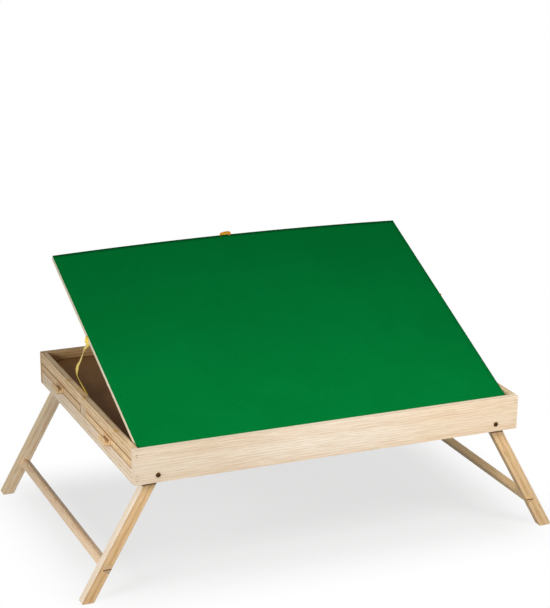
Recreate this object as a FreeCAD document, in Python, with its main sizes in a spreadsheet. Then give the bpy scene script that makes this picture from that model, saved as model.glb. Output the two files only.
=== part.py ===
import FreeCAD, Part
import os
import re
import Sketcher

# Lap table with a hinged, felt-covered puzzle board, folding legs and four sorting drawers.
# Axes: X to the right, Y to the back, Z up; the origin is on the floor under the middle of the case.

SIZES = {
    # case
    "case_length": 760.0,
    "case_depth": 575.0,
    "rail_thickness": 12.0,
    "bottom_rail_height": 28.5,
    "drawer_mouth_height": 16.0,
    "top_rail_height": 20.5,
    "floor_sheet": 2.5,
    "floor_lift": 0.5,
    "floor_housing": 4.0,
    "divider_width": 33.0,
    "divider_shift": 4.0,
    "centre_stop_width": 24.0,
    # corner brads
    "brad_side": 1.8,
    "brad_length": 26.0,
    "brad_inset": 6.0,
    "brad_upper_drop": 8.0,
    "brad_lower_rise": 8.0,
    "brad_spacing": 9.0,
    # drawers
    "drawer_side_gap": 1.5,
    "drawer_lift": 0.6,
    "drawer_head_gap": 1.2,
    "drawer_front_thickness": 12.0,
    "drawer_wall": 7.0,
    "drawer_end_gap": 4.0,
    "drawer_bottom_sheet": 2.5,
    "drawer_bottom_housing": 3.0,
    "pull_width": 34.0,
    "pull_reach": 13.5,
    "pull_height": 12.5,
    "pull_groove_width": 8.0,
    "pull_groove_depth": 6.5,
    "pull_lip": 3.5,
    "pull_bevel": 1.5,
    # legs
    "splay": 29.6,
    "leg_reach": 268.6,
    "leg_outer_half": 10.5,
    "leg_inner_half": 11.5,
    "leg_thickness": 17.5,
    "pivot_rise": 14.2,
    "pivot_inset": 45.0,
    "foot_bevel": 4.0,
    "stretcher_place": 186.7,
    "stretcher_width": 16.0,
    "stretcher_thickness": 13.6,
    "stop_gap": 0.3,
    # pivot hardware
    "bolt_radius": 3.0,
    "bolt_hole_gap": 0.05,
    "bolt_head_radius": 4.5,
    "bolt_head_height": 2.6,
    "washer_radius": 7.0,
    "washer_thickness": 0.8,
    "washer_gap": 0.3,
    "nut_radius": 5.5,
    "nut_thickness": 5.0,
    # board
    "board_tilt": 23.8,
    "hinge_rise": 59.0,
    "board_reach": 544.0,
    "board_side_gap": 3.0,
    "board_surface_drop": 1.0,
    "felt_thickness": 1.0,
    "sheet_thickness": 3.0,
    "batten_height": 6.2,
    "batten_width": 20.0,
    "board_crown": 8.0,
    # board hinges
    "knuckle_radius": 2.5,
    "hinge_stand_off": 0.3,
    "hinge_leaf": 1.0,
    "hinge_leaf_drop": 9.5,
    "hinge_length": 60.0,
    "hinge_inset": 65.0,
    "knuckle_gap": 0.4,
    "pin_radius": 1.1,
    "pin_gap": 0.05,
    "hinge_screw_radius": 1.6,
    "hinge_screw_length": 7.0,
    "hinge_screw_head": 0.4,
    "hinge_screw_spacing": 40.0,
    "hinge_screw_drop": 7.2,
    # stay
    "stay_reach": 125.0,
    "stay_pin_drop": 7.0,
    "stay_width": 7.0,
    "stay_thickness": 1.0,
    "stay_board_gap": 0.8,
    "stay_pin_radius": 1.5,
    "stay_pin_gap": 0.05,
    "stay_pin_head_radius": 2.6,
    "stay_pin_head": 0.6,
    "stay_pin_bite": 8.0,
    "stay_stud_radius": 1.9,
    "stay_slot_gap": 0.3,
    "stay_track_thickness": 1.5,
    "stay_track_width": 9.0,
    "stay_track_end": 9.0,
    "stay_stud_head_radius": 3.0,
    "stay_stud_head": 1.2,
    "stay_slot_margin": 4.0,
    "stay_head_room": 0.9,
    "tilt_limit": 36.0,
    # ribbons
    "ribbon_width": 7.0,
    "ribbon_thickness": 0.8,
    "ribbon_clearance": 0.3,
    "loop_width": 26.0,
    "loop_offset": 13.0,
    "loop_strip": 0.9,
    "loop_rise": 9.0,
    "loop_standoff": 0.6,
    "loop_drop": 0.1,
    "loop_tail": 22.0,
    # overrun of every cut
    "overrun": 1.0,
}

doc = FreeCAD.newDocument("PuzzleBoard")
sheet = doc.addObject("Spreadsheet::Sheet", "Sizes")
for row, (alias, value) in enumerate(SIZES.items(), 1):
    sheet.set(f"A{row}", str(value))
    sheet.setAlias(f"A{row}", alias)
doc.recompute()

# Places worked out from the sizes, as formulas of their names
CASE_HEIGHT = "(bottom_rail_height + drawer_mouth_height + top_rail_height)"
CASE_BOTTOM = "(leg_reach * cos(splay) - pivot_rise)"
HALF_LENGTH = "(case_length / 2)"
HALF_DEPTH = "(case_depth / 2)"
INNER_X = f"({HALF_LENGTH} - rail_thickness)"
INNER_Y = f"({HALF_DEPTH} - rail_thickness)"
MOUTH_BOTTOM = f"({CASE_BOTTOM} + bottom_rail_height)"
MOUTH_TOP = f"({MOUTH_BOTTOM} + drawer_mouth_height)"
CASE_TOP = f"({CASE_BOTTOM} + {CASE_HEIGHT})"
TRAY_BOTTOM = f"({MOUTH_TOP} + floor_lift)"
DIVIDER_FRONT = "(divider_shift - divider_width / 2)"
DIVIDER_BACK = "(divider_shift + divider_width / 2)"
PIVOT_X = f"({HALF_LENGTH} - pivot_inset)"
PIVOT_Z = f"({CASE_BOTTOM} + pivot_rise)"
LEG_FACE_Y = f"({INNER_Y} - washer_thickness - washer_gap)"
BOARD_START = "(knuckle_radius + hinge_stand_off)"
HINGE_Y = f"(-{INNER_Y} + {BOARD_START})"
HINGE_Z = f"({CASE_BOTTOM} + hinge_rise)"
BOARD_HALF = f"({INNER_X} - board_side_gap)"
SHEET_TOP = "(-board_surface_drop - felt_thickness)"
SHEET_BOTTOM = f"({SHEET_TOP} - sheet_thickness)"

parts = []


def formula(text):
    """Puts the sheet's name before each alias in a formula."""
    return re.sub(r"[a-z][a-z_]+", lambda m: "Sizes." + m.group(0) if m.group(0) in SIZES else m.group(0), text)


def number(text):
    """The present value of a formula."""
    value = sheet.evalExpression(formula(text))
    return float(value.Value) if hasattr(value, "Value") else float(value)


def bind(item, name, text):
    item.setExpression(name, formula(text))


def place(item, x="0", y="0", z="0", axis=None, angle=None):
    """Binds an object's place, and its turn about one axis, to formulas."""
    if axis:
        item.Placement = FreeCAD.Placement(FreeCAD.Vector(), FreeCAD.Rotation(FreeCAD.Vector(*axis), number(angle)))
        bind(item, "Placement.Rotation.Angle", angle)
    bind(item, "Placement.Base.x", x)
    bind(item, "Placement.Base.y", y)
    bind(item, "Placement.Base.z", z)
    return item


def keep(item, name):
    """Registers a finished sub-part under its name."""
    item.Label = name
    parts.append((name, item))
    return item


def new_body(name):
    body = doc.addObject("PartDesign::Body", name)
    return keep(body, name)


def block(owner, kind, length, width, height, x, y, z):
    """A box in a body, or in the document when there is no body; its low corner is at x, y, z."""
    item = owner.newObject(f"PartDesign::{kind}Box", "Block") if owner else doc.addObject("Part::Box", "Block")
    bind(item, "Length", length)
    bind(item, "Width", width)
    bind(item, "Height", height)
    return place(item, x, y, z)


TURNS = {"x": ((0, 1, 0), "90"), "y": ((-1, 0, 0), "90"), "z": (None, None)}


def rod(owner, kind, along, radius, length, x, y, z):
    """A cylinder that starts at x, y, z and runs along an axis in its positive direction."""
    kind_name = f"PartDesign::{kind}Cylinder"
    item = owner.newObject(kind_name, "Rod") if owner else doc.addObject("Part::Cylinder", "Rod")
    bind(item, "Radius", radius)
    bind(item, "Height", length)
    axis, angle = TURNS[along]
    return place(item, x, y, z, axis, angle)


def group(name, items):
    """Several separate solids of one kind under one name."""
    item = doc.addObject("Part::Compound", name)
    item.Links = items
    return keep(item, name)


def origin_plane(body, role):
    for item in body.Origin.OriginFeatures:
        if item.Role == role:
            return item
    raise ValueError(role)


def new_sketch(body, role, shift):
    """An empty sketch on one of the body's planes, moved off it by a formula."""
    sketch = body.newObject("Sketcher::SketchObject", "Outline")
    sketch.AttachmentSupport = [(origin_plane(body, role), "")]
    sketch.MapMode = "FlatFace"
    bind(sketch, "AttachmentOffset.Base.z", shift)
    return sketch


def fix_point(sketch, item, end, pair):
    """Binds one end of a sketch's line to a pair of formulas, its distances from the sketch's origin."""
    for kind, text in zip(("DistanceX", "DistanceY"), pair):
        value = number(text)
        if value < 0:
            index = sketch.addConstraint(Sketcher.Constraint(kind, item, end, -1, 1, -value))
            bind(sketch, f"Constraints[{index}]", f"-({text})")
        else:
            index = sketch.addConstraint(Sketcher.Constraint(kind, -1, 1, item, end, value))
            bind(sketch, f"Constraints[{index}]", text)


def outline(body, role, points, shift="0"):
    """A closed sketch of straight lines on one of the body's planes, each corner bound to two formulas."""
    sketch = new_sketch(body, role, shift)
    corners = [FreeCAD.Vector(number(a), number(b), 0) for a, b in points]
    count = len(points)
    for i in range(count):
        sketch.addGeometry(Part.LineSegment(corners[i], corners[(i + 1) % count]), False)
    for i in range(count):
        sketch.addConstraint(Sketcher.Constraint("Coincident", i, 2, (i + 1) % count, 1))
    for i, pair in enumerate(points):
        fix_point(sketch, i, 1, pair)
    return sketch


def pad(body, sketch, length, both_sides=False, turned=False):
    item = body.newObject("PartDesign::Pad", "Pad")
    item.Profile = sketch
    bind(item, "Length", length)
    item.Midplane = both_sides
    item.Reversed = turned
    return item


# Case


def long_rail(name, side):
    """Front (side -1) or back (side 1) rail, the full length of the case, with grooves and bolt holes."""
    body = new_body(name)
    low_y = f"-{HALF_DEPTH}" if side < 0 else INNER_Y
    block(body, "Additive", "case_length", "rail_thickness", CASE_HEIGHT, f"-{HALF_LENGTH}", low_y, CASE_BOTTOM)
    groove_y = f"-{INNER_Y} - floor_housing" if side < 0 else f"{INNER_Y} - overrun"
    for level in (TRAY_BOTTOM, f"{MOUTH_BOTTOM} - floor_sheet"):
        block(body, "Subtractive", f"2 * ({INNER_X} + floor_housing)", "floor_housing + overrun", "floor_sheet",
              f"-({INNER_X} + floor_housing)", groove_y, level)
    for x in (f"-{PIVOT_X}", PIVOT_X):
        rod(body, "Subtractive", "y", "bolt_radius", "rail_thickness + 2 * overrun", x, f"{low_y} - overrun", PIVOT_Z)


def end_rail(name, side, upper):
    """One end rail above or below the drawer mouths, housing the edge of a floor sheet."""
    body = new_body(name)
    low_x = f"-{HALF_LENGTH}" if side < 0 else INNER_X
    height = "top_rail_height" if upper else "bottom_rail_height"
    low_z = MOUTH_TOP if upper else CASE_BOTTOM
    block(body, "Additive", "rail_thickness", f"2 * {INNER_Y}", height, low_x, f"-{INNER_Y}", low_z)
    groove_x = f"-{INNER_X} - floor_housing" if side < 0 else f"{INNER_X} - overrun"
    level = TRAY_BOTTOM if upper else f"{MOUTH_BOTTOM} - floor_sheet"
    block(body, "Subtractive", "floor_housing + overrun", f"2 * ({INNER_Y} + overrun)", "floor_sheet",
          groove_x, f"-{INNER_Y} - overrun", level)
    return body


def floor_panel(name, level):
    """A hardboard sheet that sits in the rails' grooves."""
    body = new_body(name)
    half_x = f"({INNER_X} + floor_housing)"
    half_y = f"({INNER_Y} + floor_housing)"
    block(body, "Additive", f"2 * {half_x}", f"2 * {half_y}", "floor_sheet", f"-{half_x}", f"-{half_y}", level)


def drawer_bays():
    """The bar between front and back drawers, and the stops between left and right ones."""
    body = new_body("drawer_divider")
    block(body, "Additive", "case_length", "divider_width", "drawer_mouth_height",
          f"-{HALF_LENGTH}", DIVIDER_FRONT, MOUTH_BOTTOM)
    stops = [block(None, "", "centre_stop_width", f"{high_y} - {low_y}", "drawer_mouth_height + floor_lift",
                   "-centre_stop_width / 2", low_y, MOUTH_BOTTOM)
             for low_y, high_y in ((f"(-{INNER_Y})", DIVIDER_FRONT), (DIVIDER_BACK, INNER_Y))]
    group("centre_stops", stops)


def leg_stop(name, side):
    """A batten inside the bottom end rail: the open leg's outer edge comes to rest on its lower edge."""
    meet_x = "(leg_outer_half / cos(splay) + pivot_rise * tan(splay) + stop_gap)"
    thickness = f"(pivot_inset - rail_thickness - {meet_x})"
    body = new_body(name)
    low_x = f"-{INNER_X}" if side < 0 else f"{INNER_X} - {thickness}"
    block(body, "Additive", thickness, f"2 * {INNER_Y}", "bottom_rail_height - floor_sheet",
          low_x, f"-{INNER_Y}", CASE_BOTTOM)


def corner_brads():
    """Square-shanked brads through the long rails into the ends of the end rails."""
    items = []
    upper = f"({CASE_TOP} - brad_upper_drop)"
    lower = f"({CASE_BOTTOM} + brad_lower_rise)"
    levels = (upper, f"{upper} - brad_spacing / 2", f"{lower} + brad_spacing", lower)
    for x in (f"-{HALF_LENGTH} + brad_inset", f"{HALF_LENGTH} - brad_inset"):
        for y in (f"-{HALF_DEPTH}", f"{HALF_DEPTH} - brad_length"):
            items += [block(None, "", "brad_side", "brad_length", "brad_side",
                            f"{x} - brad_side / 2", y, f"{level} - brad_side / 2") for level in levels]
    group("corner_brads", items)


# Drawers


def drawer(end, row):
    """A shallow sorting drawer; end is left or right, row is front or back."""
    name = f"{end}_{row}_drawer"
    side = -1 if end == "left" else 1
    bay_front, bay_back = (f"(-{INNER_Y})", DIVIDER_FRONT) if row == "front" else (DIVIDER_BACK, INNER_Y)
    low_y = f"({bay_front} + drawer_side_gap)"
    width = f"({bay_back} - {bay_front} - 2 * drawer_side_gap)"
    low_z = f"({MOUTH_BOTTOM} + drawer_lift)"
    height = "(drawer_mouth_height - drawer_lift - drawer_head_gap)"
    inner_end = "(centre_stop_width / 2 + drawer_end_gap)"
    front_inner = f"({HALF_LENGTH} - drawer_front_thickness)"
    wall_run = f"({front_inner} - {inner_end})"

    def x_of(near, length):
        """Low X of a piece that lies from near outwards over a length, on this drawer's side."""
        return near if side > 0 else f"-({near}) - ({length})"

    sheet_x = f"({inner_end} + drawer_wall - drawer_bottom_housing)"
    sheet_run = f"({front_inner} + drawer_bottom_housing - {sheet_x})"
    sheet_y = f"({low_y} + drawer_wall - drawer_bottom_housing)"
    sheet_width = f"({width} - 2 * (drawer_wall - drawer_bottom_housing))"

    front = new_body(f"{name}_front")
    block(front, "Additive", "drawer_front_thickness", width, height,
          x_of(front_inner, "drawer_front_thickness"), low_y, low_z)
    block(front, "Subtractive", "drawer_bottom_housing + overrun", sheet_width, "drawer_bottom_sheet + overrun",
          x_of(f"{front_inner} - overrun", "drawer_bottom_housing + overrun"), sheet_y, f"{low_z} - overrun")

    pull = new_body(f"{name}_pull")
    groove_in = "(pull_reach - pull_lip - pull_groove_width)"
    groove_out = "(pull_reach - pull_lip)"
    floor = "(pull_height - pull_groove_depth)"
    profile = [("0", "0"), ("pull_reach - pull_bevel", "0"), ("pull_reach", "pull_bevel"),
               ("pull_reach", "pull_height - pull_bevel"), ("pull_reach - pull_bevel", "pull_height"),
               (groove_out, "pull_height"), (groove_out, floor), (groove_in, floor),
               (groove_in, "pull_height"), ("0", "pull_height")]
    profile = [(f"{side} * ({a})", b) for a, b in profile]
    pad(pull, outline(pull, "XZ_Plane", profile), "pull_width", both_sides=True)
    place(pull, f"{side} * {HALF_LENGTH}", f"{low_y} + {width} / 2", low_z)

    walls = doc.addObject("Part::Cut", f"{name}_walls_shape")
    rest = [block(None, "", wall_run, "drawer_wall", height, x_of(inner_end, wall_run), y, low_z)
            for y in (low_y, f"{low_y} + {width} - drawer_wall")]
    rest.append(block(None, "", "drawer_wall", f"{width} - 2 * drawer_wall", height,
                      x_of(inner_end, "drawer_wall"), f"{low_y} + drawer_wall", low_z))
    three = doc.addObject("Part::Compound", f"{name}_boards")
    three.Links = rest
    walls.Base = three
    walls.Tool = block(None, "", f"{sheet_run} + overrun", sheet_width, "drawer_bottom_sheet + overrun",
                       x_of(sheet_x, f"{sheet_run} + overrun"), sheet_y, f"{low_z} - overrun")
    keep(walls, f"{name}_walls")

    bottom = new_body(f"{name}_bottom")
    block(bottom, "Additive", sheet_run, sheet_width, "drawer_bottom_sheet", x_of(sheet_x, sheet_run), sheet_y, low_z)


# Legs


def leg(name, side, face):
    """One splayed leg; side is -1 left or 1 right, face is -1 front or 1 back."""
    body = new_body(name)
    middle = "((leg_inner_half - leg_outer_half) / 2)"
    half = "((leg_inner_half + leg_outer_half) / 2)"
    low_y = f"-{LEG_FACE_Y}" if face < 0 else f"({LEG_FACE_Y} - leg_thickness)"
    foot_outer = "(-leg_reach - leg_outer_half * tan(splay))"
    foot_inner = "(-leg_reach + leg_inner_half * tan(splay))"
    profile = [("-leg_outer_half", "0"), ("-leg_outer_half", f"{foot_outer} + foot_bevel"),
               ("-leg_outer_half + foot_bevel * cos(splay)", f"{foot_outer} + foot_bevel * sin(splay)"),
               ("leg_inner_half", foot_inner), ("leg_inner_half", "0")]
    profile = [(f"{-side} * ({a})", b) for a, b in profile]
    pad(body, outline(body, "XZ_Plane", profile), "leg_thickness", turned=True)
    rod(body, "Additive", "y", half, "leg_thickness", f"{-side} * {middle}", "0", "0")
    rod(body, "Subtractive", "y", "bolt_radius + bolt_hole_gap", "leg_thickness + 2 * overrun", "0", "-overrun", "0")
    notch_x = "leg_inner_half - stretcher_thickness" if side < 0 else "-leg_inner_half - overrun"
    block(body, "Subtractive", "stretcher_thickness + overrun", "leg_thickness + 2 * overrun", "stretcher_width",
          notch_x, "-overrun", "-stretcher_place - stretcher_width")
    place(body, f"{side} * {PIVOT_X}", low_y, PIVOT_Z, (0, 1, 0), f"{-side} * splay")


def stretcher(name, side):
    """The rail between a pair of legs, let into notches in their inner edges."""
    body = new_body(name)
    low_x = "leg_inner_half - stretcher_thickness" if side < 0 else "-leg_inner_half"
    block(body, "Additive", "stretcher_thickness", f"2 * {LEG_FACE_Y}", "stretcher_width",
          low_x, f"-{LEG_FACE_Y}", "-stretcher_place - stretcher_width")
    place(body, f"{side} * {PIVOT_X}", "0", PIVOT_Z, (0, 1, 0), f"{-side} * splay")


def pivot_hardware():
    """Bolts through the long rails and legs, washers between them, and nuts inside."""
    bolts, washers, nuts = [], [], []
    nut_start = f"({LEG_FACE_Y} - leg_thickness - washer_gap - nut_thickness)"
    for x in (f"-{PIVOT_X}", PIVOT_X):
        for face in (-1, 1):
            shank = rod(None, "", "y", "bolt_radius", f"{HALF_DEPTH} - {nut_start}", x,
                        f"-{HALF_DEPTH}" if face < 0 else nut_start, PIVOT_Z)
            head = rod(None, "", "y", "bolt_head_radius", "bolt_head_height", x,
                       f"-{HALF_DEPTH} - bolt_head_height" if face < 0 else HALF_DEPTH, PIVOT_Z)
            bolt = doc.addObject("Part::Fuse", "Bolt")
            bolt.Base = shank
            bolt.Tool = head
            bolts.append(bolt)
            rings = ((washers, "washer_radius", "washer_thickness", f"({INNER_Y} - washer_thickness)"),
                     (nuts, "nut_radius", "nut_thickness", nut_start))
            for pile, radius, thickness, start in rings:
                low_y = f"-{start} - {thickness}" if face < 0 else start
                ring = doc.addObject("Part::Cut", "Ring")
                ring.Base = rod(None, "", "y", radius, thickness, x, low_y, PIVOT_Z)
                ring.Tool = rod(None, "", "y", "bolt_radius", f"{thickness} + 2 * overrun", x,
                                f"{low_y} - overrun", PIVOT_Z)
                pile.append(ring)
    group("pivot_bolts", bolts)
    group("pivot_washers", washers)
    group("pivot_nuts", nuts)


# Board: drawn flat in its own frame, whose X axis is the hinge axis, then tilted


def tilted(item):
    """Puts a piece of the board at the hinge axis and tilts it."""
    return place(item, "0", HINGE_Y, HINGE_Z, (1, 0, 0), "board_tilt")


def crowned_panel(name, top, thickness):
    """A panel that is flat at the front and bows up towards the middle of the back edge."""
    body = new_body(name)
    low = f"({top} - {thickness})"
    corners = [(f"-{BOARD_HALF}", low), (BOARD_HALF, low), (BOARD_HALF, top), (f"-{BOARD_HALF}", top)]
    front = outline(body, "XZ_Plane", corners, shift=f"-{BOARD_START}")
    back = new_sketch(body, "XZ_Plane", "-board_reach")
    half, rise = number(BOARD_HALF), number("board_crown")
    left_low, right_low, right_top, left_top = [FreeCAD.Vector(number(a), number(b), 0) for a, b in corners]
    middle_low = FreeCAD.Vector(0, number(low) + rise, 0)
    middle_top = FreeCAD.Vector(0, number(top) + rise, 0)
    back.addGeometry(Part.Arc(left_low, middle_low, right_low), False)
    back.addGeometry(Part.LineSegment(right_low, right_top), False)
    back.addGeometry(Part.Arc(left_top, middle_top, right_top), False)
    back.addGeometry(Part.LineSegment(left_top, left_low), False)
    # an arc's points run anticlockwise, so its first point is the one on the right
    for first, first_end, second, second_end in ((0, 1, 1, 1), (1, 2, 2, 1), (2, 2, 3, 1), (3, 2, 0, 2)):
        back.addConstraint(Sketcher.Constraint("Coincident", first, first_end, second, second_end))
    for item, end, pair in ((1, 1, corners[1]), (1, 2, corners[2]), (3, 1, corners[3]), (3, 2, corners[0])):
        fix_point(back, item, end, pair)
    bow = f"({BOARD_HALF} * {BOARD_HALF} + board_crown * board_crown) / (2 * board_crown)"
    for item in (0, 2):
        index = back.addConstraint(Sketcher.Constraint("Radius", item, number(bow)))
        bind(back, f"Constraints[{index}]", bow)
    loft = body.newObject("PartDesign::AdditiveLoft", "Panel")
    loft.Profile = front
    loft.Sections = [back]
    loft.Ruled = True
    tilted(body)


def board_battens():
    """Strips under the side and front edges of the sheet."""
    low = f"({SHEET_BOTTOM} - batten_height)"
    start = f"({BOARD_START} + batten_width)"
    for name, x in (("left_batten", f"-{BOARD_HALF}"), ("right_batten", f"{BOARD_HALF} - batten_width")):
        body = new_body(name)
        block(body, "Additive", "batten_width", f"board_reach - {start}", "batten_height", x, start, low)
        if name == "right_batten":
            rod(body, "Subtractive", "x", "stay_pin_radius", "stay_pin_bite + overrun",
                f"{BOARD_HALF} - stay_pin_bite", "stay_reach", "-stay_pin_drop")
        tilted(body)
    body = new_body("front_batten")
    block(body, "Additive", f"2 * {BOARD_HALF}", "batten_width", "batten_height", f"-{BOARD_HALF}", BOARD_START,
          low)
    tilted(body)


HINGE_CENTRES = (f"-({BOARD_HALF} - hinge_inset)", "0", f"({BOARD_HALF} - hinge_inset)")


def fused(items):
    """One solid out of several overlapping ones."""
    item = doc.addObject("Part::MultiFuse", "Joined")
    item.Shapes = items
    return item


def less(base, tool):
    item = doc.addObject("Part::Cut", "Cut")
    item.Base = base
    item.Tool = tool
    return item


def board_hinges():
    """Butt hinges: outer knuckles on the rail's leaf, the middle one on the board's, and a pin through all."""
    third = "(hinge_length / 3)"
    rail_leaves, board_leaves, pins, rail_screws, board_screws = [], [], [], [], []
    for centre in HINGE_CENTRES:
        low_x = f"({centre} - hinge_length / 2)"
        leaf = block(None, "", "hinge_length", "hinge_leaf", "hinge_leaf_drop",
                     low_x, f"-{BOARD_START}", "-hinge_leaf_drop")
        ends = [rod(None, "", "x", "knuckle_radius", third, x, "0", "0")
                for x in (low_x, f"{low_x} + 2 * {third}")]
        room = block(None, "", f"{third} + 2 * knuckle_gap", "2 * knuckle_radius", "2 * (knuckle_radius + knuckle_gap)",
                     f"{low_x} + {third} - knuckle_gap", "-knuckle_radius - overrun", "-knuckle_radius - knuckle_gap")
        bore = rod(None, "", "x", "pin_radius", "hinge_length + 2 * overrun", f"{low_x} - overrun", "0", "0")
        rail_leaves.append(less(less(fused([leaf] + ends), room), bore))

        leaf = block(None, "", "hinge_length", "hinge_leaf", "hinge_leaf_drop",
                     low_x, f"{BOARD_START} - hinge_leaf", "-hinge_leaf_drop")
        barrel = rod(None, "", "x", "knuckle_radius", third, f"{low_x} + {third}", "0", "0")
        rooms = [block(None, "", f"{third} + knuckle_gap + overrun", "2 * knuckle_radius",
                       "2 * (knuckle_radius + knuckle_gap)", x, "0", "-knuckle_radius - knuckle_gap")
                 for x in (f"{low_x} - overrun", f"{low_x} + 2 * {third} - knuckle_gap")]
        bore = rod(None, "", "x", "pin_radius + pin_gap", "hinge_length + 2 * overrun", f"{low_x} - overrun", "0", "0")
        board_leaves.append(less(fused([less(leaf, fused(rooms)), barrel]), bore))

        pins.append(rod(None, "", "x", "pin_radius", "hinge_length", low_x, "0", "0"))
        for x in (f"{centre} - hinge_screw_spacing / 2", f"{centre} + hinge_screw_spacing / 2"):
            rail_screws.append(rod(None, "", "y", "hinge_screw_radius", "hinge_screw_length + hinge_screw_head", x,
                                   f"-{BOARD_START} - hinge_screw_length + hinge_leaf", "-hinge_screw_drop"))
            board_screws.append(rod(None, "", "y", "hinge_screw_radius", "hinge_screw_length + hinge_screw_head", x,
                                    f"{BOARD_START} - hinge_leaf - hinge_screw_head", "-hinge_screw_drop"))
    for name, items in (("hinge_rail_leaves", rail_leaves), ("hinge_pins", pins), ("hinge_rail_screws", rail_screws)):
        place(group(name, items), "0", HINGE_Y, HINGE_Z)
    for name, items in (("hinge_board_leaves", board_leaves), ("hinge_board_screws", board_screws)):
        tilted(group(name, items))


# Stay: an arm as long as its pivot's distance from the hinge axis, so its stud stays level with that axis


STAY_ARM = "(sqrt(stay_reach * stay_reach + stay_pin_drop * stay_pin_drop))"
STAY_LAG = "(atan(stay_pin_drop / stay_reach) / 1 deg)"
STAY_X = f"({BOARD_HALF} + stay_board_gap)"
STUD_AT_CLOSED = f"(2 * {STAY_ARM} * cos({STAY_LAG}))"
STUD_AT_LIMIT = f"(2 * {STAY_ARM} * cos(tilt_limit - {STAY_LAG}))"


def stay():
    """Arm from the board's side edge down to a slotted track that is let into the right top rail."""
    ahead = f"(board_tilt - {STAY_LAG})"
    pin_y = f"({HINGE_Y} + {STAY_ARM} * cos({ahead}))"
    pin_z = f"({HINGE_Z} + {STAY_ARM} * sin({ahead}))"
    arm = new_body("stay_arm")
    block(arm, "Additive", "stay_thickness", STAY_ARM, "stay_width", "0", "0", "-stay_width / 2")
    for y in ("0", STAY_ARM):
        rod(arm, "Additive", "x", "stay_width / 2", "stay_thickness", "0", y, "0")
    rod(arm, "Subtractive", "x", "stay_pin_radius + stay_pin_gap", "stay_thickness + 2 * overrun",
        "-overrun", "0", "0")
    rod(arm, "Subtractive", "x", "stay_stud_radius + stay_pin_gap", "stay_thickness + 2 * overrun",
        "-overrun", STAY_ARM, "0")
    place(arm, STAY_X, pin_y, pin_z, (1, 0, 0), f"-{ahead}")

    stud = new_body("stay_stud")
    reach = f"({INNER_X} + stay_track_thickness + stay_slot_gap - {STAY_X})"
    rod(stud, "Additive", "x", "stay_stud_radius", f"{reach} + stay_stud_head", "0", "0", "0")
    rod(stud, "Additive", "x", "stay_stud_head_radius", "stay_stud_head", reach, "0", "0")
    stud_y = f"{HINGE_Y} + 2 * {STAY_ARM} * cos({ahead})"
    place(stud, STAY_X, stud_y, HINGE_Z)

    pin = new_body("stay_pin")
    run = "(stay_pin_bite + stay_board_gap + stay_thickness + stay_slot_gap)"
    rod(pin, "Additive", "x", "stay_pin_radius", run, f"{BOARD_HALF} - stay_pin_bite", "stay_reach", "-stay_pin_drop")
    rod(pin, "Additive", "x", "stay_pin_head_radius", "stay_pin_head",
        f"{BOARD_HALF} - stay_pin_bite + {run}", "stay_reach", "-stay_pin_drop")
    tilted(pin)


TRACK_START = f"({HINGE_Y} + {STUD_AT_LIMIT} - stay_slot_margin - stay_track_end)"
TRACK_RUN = f"({STUD_AT_CLOSED} - {STUD_AT_LIMIT} + 2 * (stay_slot_margin + stay_track_end))"
SLOT_HALF = "(stay_stud_radius + stay_slot_gap)"


def slot_shape(half, depth, x):
    """A round-ended slot along Y, as long as the stud's travel with a margin at both ends."""
    low = f"({HINGE_Y} + {STUD_AT_LIMIT} - stay_slot_margin + {SLOT_HALF})"
    high = f"({HINGE_Y} + {STUD_AT_CLOSED} + stay_slot_margin - {SLOT_HALF})"
    items = [block(None, "", depth, f"{high} - {low}", f"2 * {half}", x, low, f"{HINGE_Z} - {half}")]
    items += [rod(None, "", "x", half, depth, x, y, HINGE_Z) for y in (low, high)]
    return fused(items)


def stay_track():
    plate = block(None, "", "stay_track_thickness", TRACK_RUN, "stay_track_width",
                  INNER_X, TRACK_START, f"{HINGE_Z} - stay_track_width / 2")
    slot = slot_shape(SLOT_HALF, "stay_track_thickness + 2 * overrun", f"{INNER_X} - overrun")
    keep(less(plate, slot), "stay_track")


def stay_recess(body):
    """Rebate for the track in the right top rail, with a deeper groove for the stud's head."""
    block(body, "Subtractive", "stay_track_thickness + overrun", TRACK_RUN, "stay_track_width",
          f"{INNER_X} - overrun", TRACK_START, f"{HINGE_Z} - stay_track_width / 2")
    half = "(stay_stud_head_radius + stay_slot_gap)"
    depth = "(stay_track_thickness + stay_stud_head + stay_head_room)"
    low = f"({HINGE_Y} + {STUD_AT_LIMIT} - stay_slot_margin)"
    high = f"({HINGE_Y} + {STUD_AT_CLOSED} + stay_slot_margin)"
    block(body, "Subtractive", f"{depth} + overrun", f"{high} - {low}", f"2 * {half}",
          f"{INNER_X} - overrun", low, f"{HINGE_Z} - {half}")


# Ribbons

# path of a slack limit ribbon: shares of the board's reach behind the hinge, and of the hinge's height above it
RIBBON_REACH_SHARES = (0.517, 0.528, 0.548, 0.568, 0.581, 0.603, 0.631, 0.651, 0.655, 0.644, 0.618, 0.581, 0.548, 0.522)
RIBBON_RISE_SHARES = (2.07, 1.90, 1.64, 1.42, 1.22, 1.02, 0.78, 0.58, 0.44, 0.34, 0.25, 0.17, 0.10, 0.05)


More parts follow.
